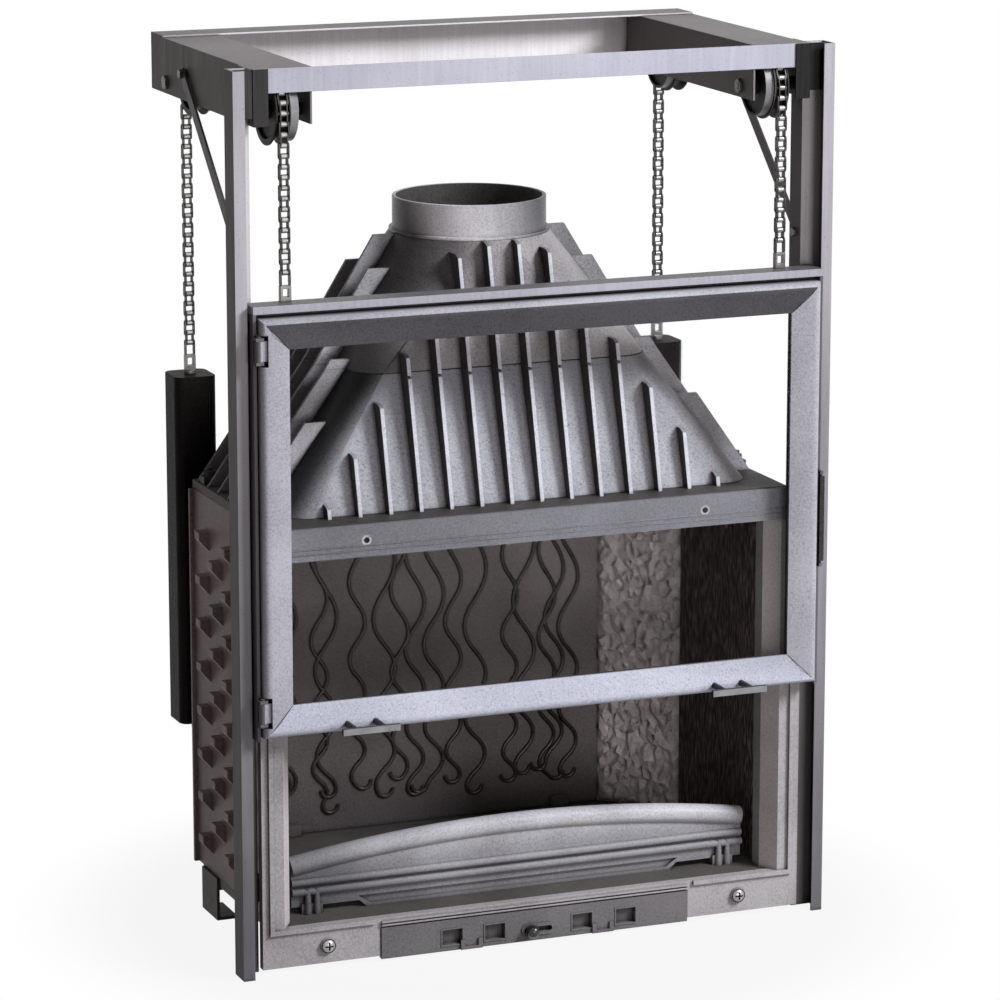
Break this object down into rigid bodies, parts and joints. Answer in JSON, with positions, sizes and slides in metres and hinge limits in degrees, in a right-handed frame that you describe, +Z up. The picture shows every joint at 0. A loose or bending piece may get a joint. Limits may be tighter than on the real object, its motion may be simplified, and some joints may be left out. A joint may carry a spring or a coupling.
{
  "type": "fireplace insert",
  "caption": "Cast-iron fireplace insert with a finned flue hood and a wide glass door that lifts in side rails on chains, wheels and counterweights.",
  "frame": {"origin": "on the floor, under the middle of the insert's overall box", "axes": "+X to the right as seen from the front, +Y from the front to the back, +Z up"},
  "size_m": [0.8, 0.487, 1.1445],
  "materials": {
    "cast_grey": "heat-proof grey paint on sand-cast iron",
    "cast_dark": "dark heat-proof paint on sand-cast iron",
    "sheet_light": "satin grey paint on folded sheet",
    "sheet_dark": "dark satin paint on folded sheet",
    "steel": "plain steel",
    "chain": "oiled steel",
    "weight_black": "black paint on cast iron",
    "glass": "clear heat-proof glass",
    "rope": "woven sealing rope"
  },
  "bodies": {
    "insert": {"front_frame": "cast_grey", "lintel": "cast_grey", "corner_wall_left": "cast_grey", "corner_wall_right": "cast_grey", "back_wall": "cast_grey", "log_guard": "cast_grey", "hood_lower": "cast_grey", "hood_upper": "cast_grey", "flue_collar": "cast_grey", "hearth_plate": "cast_dark", "side_wall_left": "cast_dark", "side_wall_right": "cast_dark", "side_liners": "cast_dark", "deck": "cast_dark", "baffle": "cast_dark", "grate": "cast_dark", "hood_clamps": "cast_dark", "rail_left": "sheet_light", "rail_right": "sheet_light", "top_front_bar": "sheet_light", "top_back_plate": "sheet_light", "brace_left": "sheet_light", "brace_right": "sheet_light", "top_channel_left": "sheet_dark", "top_channel_right": "sheet_dark", "corner_angles": "sheet_dark", "drawer_housing": "sheet_dark", "firebox_mounts": "sheet_dark", "brace_bolts": "steel", "wheel_axles": "steel", "axle_sleeves": "steel", "front_screws": "steel", "chain_front_left": "chain", "chain_front_right": "chain", "chain_top_left": "chain", "chain_top_right": "chain", "chain_rear_left": "chain", "chain_rear_right": "chain"},
    "carriage": {"carriage_bar": "sheet_light", "carriage_stiles": "sheet_light", "guide_shoes": "cast_dark", "carriage_clevises": "sheet_light", "hinge_pins": "steel"},
    "door": {"door_frame": "cast_grey", "door_glass": "glass", "glass_retainer": "sheet_dark", "door_gasket": "rope", "door_handles": "cast_grey"},
    "latch": {"door_latch": "sheet_light"},
    "weight_left": {"counterweight_left": "weight_black", "weight_clevis_left": "weight_black"},
    "weight_right": {"counterweight_right": "weight_black", "weight_clevis_right": "weight_black"},
    "wheel_front_left": {"wheel_front_left": "steel"},
    "wheel_front_right": {"wheel_front_right": "steel"},
    "wheel_rear_left": {"wheel_rear_left": "steel"},
    "wheel_rear_right": {"wheel_rear_right": "steel"},
    "ash_drawer": {"ash_drawer": "sheet_dark", "drawer_front": "cast_grey"},
    "air_register": {"air_register": "steel"}
  },
  "joints": [
    {"name": "door_lift", "type": "slide", "parent": "insert", "child": "carriage", "axis": [0, 0, 1], "range_m": [-0.271, 0.195], "deforming": ["chain_front_left", "chain_front_right"]},
    {"name": "door_swing", "type": "hinge", "parent": "carriage", "child": "door", "pos_m": [-0.377, -0.1995, 0.58], "axis": [0, 0, -1], "range_deg": [0, 95]},
    {"name": "latch_turn", "type": "hinge", "parent": "carriage", "child": "latch", "pos_m": [0.3803, -0.1995, 0.533], "axis": [0, 0, -1], "range_deg": [0, 45]},
    {"name": "weight_left_travel", "type": "slide", "parent": "insert", "child": "weight_left", "axis": [0, 0, 1], "range_m": [-0.195, 0.271], "deforming": ["chain_rear_left"]},
    {"name": "weight_right_travel", "type": "slide", "parent": "insert", "child": "weight_right", "axis": [0, 0, 1], "range_m": [-0.195, 0.271], "deforming": ["chain_rear_right"]},
    {"name": "wheel_front_left_turn", "type": "hinge", "parent": "insert", "child": "wheel_front_left", "pos_m": [-0.332, -0.1275, 1.087], "axis": [1, 0, 0], "range_deg": [-280, 385]},
    {"name": "wheel_front_right_turn", "type": "hinge", "parent": "insert", "child": "wheel_front_right", "pos_m": [0.332, -0.1275, 1.087], "axis": [1, 0, 0], "range_deg": [-280, 385]},
    {"name": "wheel_rear_left_turn", "type": "hinge", "parent": "insert", "child": "wheel_rear_left", "pos_m": [-0.332, 0.1735, 1.087], "axis": [1, 0, 0], "range_deg": [-280, 385]},
    {"name": "wheel_rear_right_turn", "type": "hinge", "parent": "insert", "child": "wheel_rear_right", "pos_m": [0.332, 0.1735, 1.087], "axis": [1, 0, 0], "range_deg": [-280, 385]},
    {"name": "drawer_slide", "type": "slide", "parent": "insert", "child": "ash_drawer", "axis": [0, -1, 0], "range_m": [0, 0.25]},
    {"name": "register_slide", "type": "slide", "parent": "ash_drawer", "child": "air_register", "axis": [1, 0, 0], "range_m": [-0.005, 0.027]}
  ],
  "couplings": [
    {"joint": "weight_left_travel", "follows": "door_lift", "ratio": -1},
    {"joint": "weight_right_travel", "follows": "door_lift", "ratio": -1},
    {"joint": "wheel_front_left_turn", "follows": "door_lift", "rad_per_m": -24.39},
    {"joint": "wheel_front_right_turn", "follows": "door_lift", "rad_per_m": -24.39},
    {"joint": "wheel_rear_left_turn", "follows": "door_lift", "rad_per_m": -24.39},
    {"joint": "wheel_rear_right_turn", "follows": "door_lift", "rad_per_m": -24.39}
  ]
}
